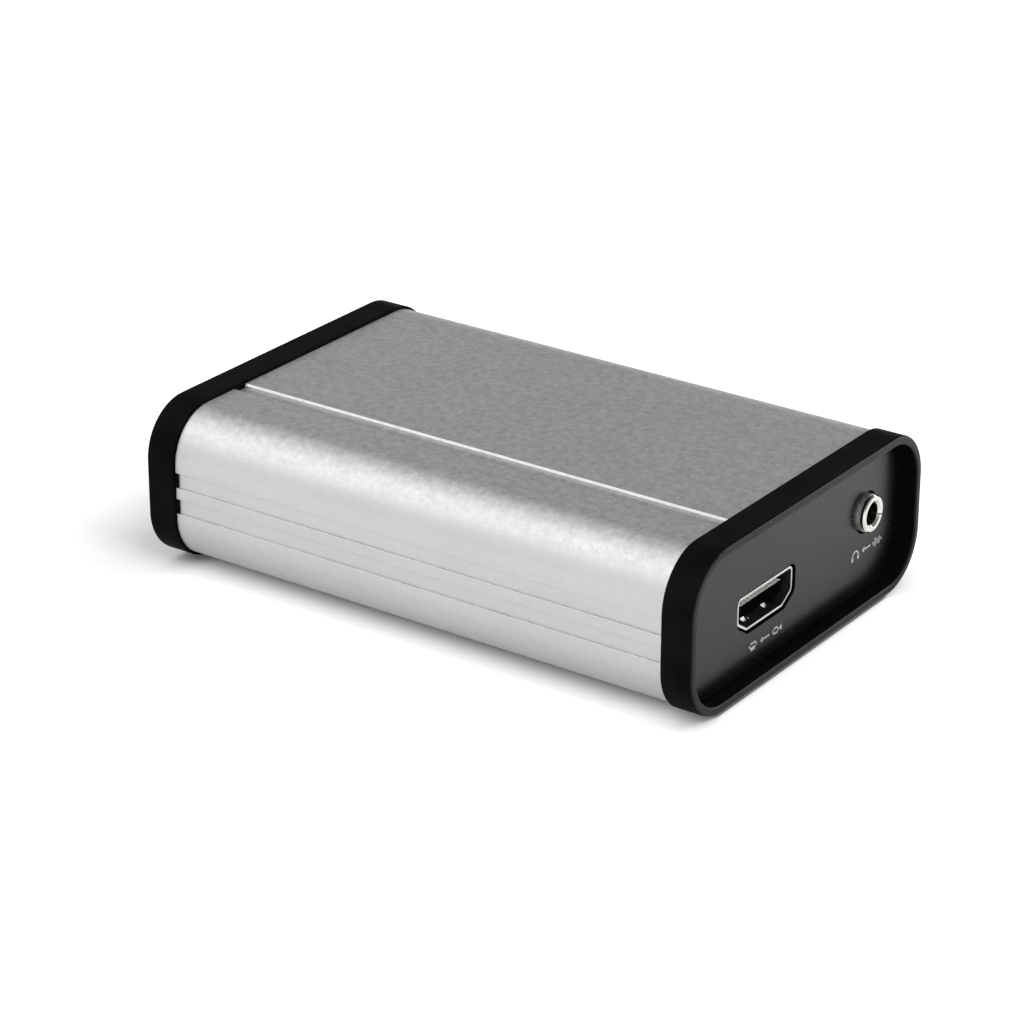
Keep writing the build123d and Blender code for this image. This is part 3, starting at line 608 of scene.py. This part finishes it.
def ink_headphones(mesh, middle, low):
    """A headband over two ear pads."""
    band_radius = 1.05
    band_rise = 0.4
    pad_inside = 0.6
    pad_outside = 1.15
    pad_low = low - 0.15
    pad_high = low + 0.65
    ink_half_ring(mesh, middle, low + band_rise, band_radius)
    ink_bar(mesh, middle - pad_outside, middle - pad_inside, pad_low, pad_high)
    ink_bar(mesh, middle + pad_inside, middle + pad_outside, pad_low, pad_high)


def ink_sound(mesh, start, middle):
    """Upright bars of unlike height."""
    pitch = 0.6
    for index, tall in enumerate(SOUND_BARS_MM):
        left = start + index * pitch
        ink_bar(mesh, left, left + INK_LINE_MM, middle - tall / 2, middle + tall / 2)


def video_sign(mesh):
    """A screen, an arrow and a camera."""
    low, high = 4.85, 6.15
    screen_sides = (-12.4, -10.3)
    arrow_tip = -9.3
    arrow_head = 1.0
    camera_sides = (-5.9, -4.2)
    ink_screen(mesh, *screen_sides, low, high)
    ink_arrow(mesh, arrow_tip, (low + high) / 2, arrow_head)
    ink_camera(mesh, *camera_sides, low, high)


def audio_sign(mesh):
    """Headphones, an arrow and sound bars."""
    low, high = 8.2, 9.6
    headphones_middle = 17.9
    arrow_tip = 19.9
    arrow_head = 1.1
    bars_start = 23.1
    ink_headphones(mesh, headphones_middle, low)
    ink_arrow(mesh, arrow_tip, (low + high) / 2, arrow_head)
    ink_sound(mesh, bars_start, (low + high) / 2)


def mark(name, draw, ink):
    mesh = bmesh.new()
    draw(mesh)
    bmesh.ops.recalc_face_normals(mesh, faces=mesh.faces)
    data = bpy.data.meshes.new(name)
    mesh.to_mesh(data)
    mesh.free()
    data.materials.append(ink)
    obj = bpy.data.objects.new(name, data)
    bpy.context.scene.collection.objects.link(obj)
    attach(obj, "box")


def print_marks():
    grey = (0.62, 0.62, 0.63)
    relief = 0.004 * MM
    ink = moulded("pad_print_ink", grey, rough=0.55, grain=0.1 * MM, depth=relief, spread=0.12)
    mark("video_input_mark", video_sign, ink)
    mark("audio_input_mark", audio_sign, ink)


# Floor and lights
def distance_curve(shader, value, line):
    """The value of a line of (millimetres, brightness) points at a distance in metres."""
    furthest = line[-1][0]
    middle = 0.5
    node = shader.tree.nodes.new("ShaderNodeFloatCurve")
    shader.link(shader.remap(value, 0.0, furthest * MM), node, "Value")
    points = node.mapping.curves[0].points
    while len(points) < len(line):
        points.new(middle, middle)
    for point, (far, bright) in zip(points, line):
        point.location = (far / furthest, bright)
        point.handle_type = "VECTOR"
    node.mapping.update()
    return node.outputs["Value"]


def floor_distances(shader):
    """How far a place on the floor lies outside the box's shade, where the painted glow rises, and
    how far behind its rear end, where the painted shadow falls.
    """
    place = shader.axes("Object")
    backward = shader.math("MULTIPLY", place["X"], -1.0)
    behind = shader.math("MULTIPLY", shader.beyond(backward, REAR_START), REAR_STEEPNESS)
    aside = shader.beyond(shader.size_of(place["Y"]), SIDE_START)
    forward = shader.math("ADD", place["X"], shader.math("MULTIPLY", aside, FRONT_CORNER))
    softness = shader.math("ADD", shader.math("MULTIPLY", aside, CORNER_SOFTNESS), 1.0)
    steepness = shader.math("DIVIDE", FRONT_STEEPNESS, softness)
    ahead = shader.math("MULTIPLY", shader.beyond(forward, FRONT_START), steepness)
    squares = [shader.math("POWER", side, 2.0) for side in (ahead, behind, aside)]
    total = shader.math("ADD", shader.math("ADD", squares[0], squares[1]), squares[2])
    reach = shader.math("POWER", total, 0.5)
    return reach, shader.beyond(backward, PAINTED_SHADOW_START)


def floor():
    """A pale floor whose painted glow shows it white away from the box and keeps the box's shadow
    near it, with a painted shadow behind the rear end and a painted sheen that shiny faces reflect.
    """
    half = 4.0
    grey = (0.86, 0.86, 0.86)
    mesh = bpy.data.meshes.new("floor")
    corners = [(-half, -half, 0), (half, -half, 0), (half, half, 0), (-half, half, 0)]
    mesh.from_pydata(corners, [], [(0, 1, 2, 3)])
    obj = bpy.data.objects.new("floor", mesh)
    bpy.context.scene.collection.objects.link(obj)
    shader = Shader("floor_paper")
    shader.set(
        Base_Color=(*grey, 1),
        Roughness=0.8,
        Specular_IOR_Level=0.2,
        Emission_Color=(1, 1, 1, 1),
    )
    reach, rear_reach = floor_distances(shader)
    rays = shader.tree.nodes.new("ShaderNodeLightPath").outputs
    reflected = shader.math("MAXIMUM", rays["Is Glossy Ray"], rays["Is Transmission Ray"])
    # Painted shadow: glow taken off the floor behind the rear end
    painted_shadow = distance_curve(shader, rear_reach, FLOOR_PAINTED_SHADOW)
    # Painted light: the floor glows for the camera and for reflections, less near the box, so the
    # shadow shows only close to it
    painted_glow = shader.beyond(distance_curve(shader, reach, FLOOR_PAINTED_GLOW), painted_shadow)
    painted_glow = shader.math("MULTIPLY", rays["Is Camera Ray"], painted_glow)
    painted_sheen = shader.math("MULTIPLY", reflected, distance_curve(shader, reach, FLOOR_PAINTED_SHEEN))
    shader.link(shader.math("ADD", painted_glow, painted_sheen), shader.surface, "Emission Strength")
    mesh.materials.append(shader.material)


def softbox(name, place, aim, width, height, power):
    data = bpy.data.lights.new(name, "AREA")
    data.shape = "RECTANGLE"
    data.size = width
    data.size_y = height
    data.energy = power
    obj = bpy.data.objects.new(name, data)
    obj.location = place
    turn = Vector(aim) - Vector(place)
    obj.rotation_euler = turn.to_track_quat("-Z", "Y").to_euler()
    bpy.context.scene.collection.objects.link(obj)


def world_step(tree, value, limits):
    """A smooth step from 0 to 1 between two limits of a value."""
    node = tree.nodes.new("ShaderNodeMapRange")
    node.interpolation_type = "SMOOTHSTEP"
    node.inputs["From Min"].default_value = limits[0]
    node.inputs["From Max"].default_value = limits[1]
    tree.links.new(value, node.inputs["Value"])
    return node.outputs["Result"]


def world():
    """A studio, white low down and in front of the box's long side, grey behind and above."""
    studio = bpy.data.worlds.new("studio")
    studio.use_nodes = True
    bpy.context.scene.world = studio
    tree = studio.node_tree
    way = tree.nodes.new("ShaderNodeTexCoord").outputs["Generated"]
    split = tree.nodes.new("ShaderNodeSeparateXYZ")
    tree.links.new(way, split.inputs["Vector"])
    facing = tree.nodes.new("ShaderNodeVectorMath")
    facing.operation = "DOT_PRODUCT"
    facing.inputs[1].default_value = FRONT_WAY
    tree.links.new(way, facing.inputs[0])
    rise = world_step(tree, split.outputs["Z"], WORLD_RISE)
    turn = world_step(tree, facing.outputs["Value"], WORLD_TURN)
    low_to_back = tree.nodes.new("ShaderNodeMixRGB")
    low_to_back.inputs["Color1"].default_value = (*WORLD_LOW, 1)
    low_to_back.inputs["Color2"].default_value = (*WORLD_BACK, 1)
    tree.links.new(rise, low_to_back.inputs["Fac"])
    to_front = tree.nodes.new("ShaderNodeMixRGB")
    to_front.inputs["Color2"].default_value = (*WORLD_FRONT, 1)
    tree.links.new(low_to_back.outputs["Color"], to_front.inputs["Color1"])
    tree.links.new(turn, to_front.inputs["Fac"])
    tree.links.new(to_front.outputs["Color"], tree.nodes["Background"].inputs["Color"])


place_camera()
bpy.context.scene.view_settings.view_transform = "Standard"
dress_nodes()
dress_bezel_rims()
dress_video_socket()
dress_jack_nose()
print_marks()
floor()
world()
softbox("key", place=(-0.88, -0.76, 1.35), aim=(0, 0, 0.01), width=1.4, height=1.4, power=6.9)
softbox("front", place=(0.75, 0.95, 0.28), aim=(0.05, 0, 0.015), width=0.8, height=0.4, power=4.6)
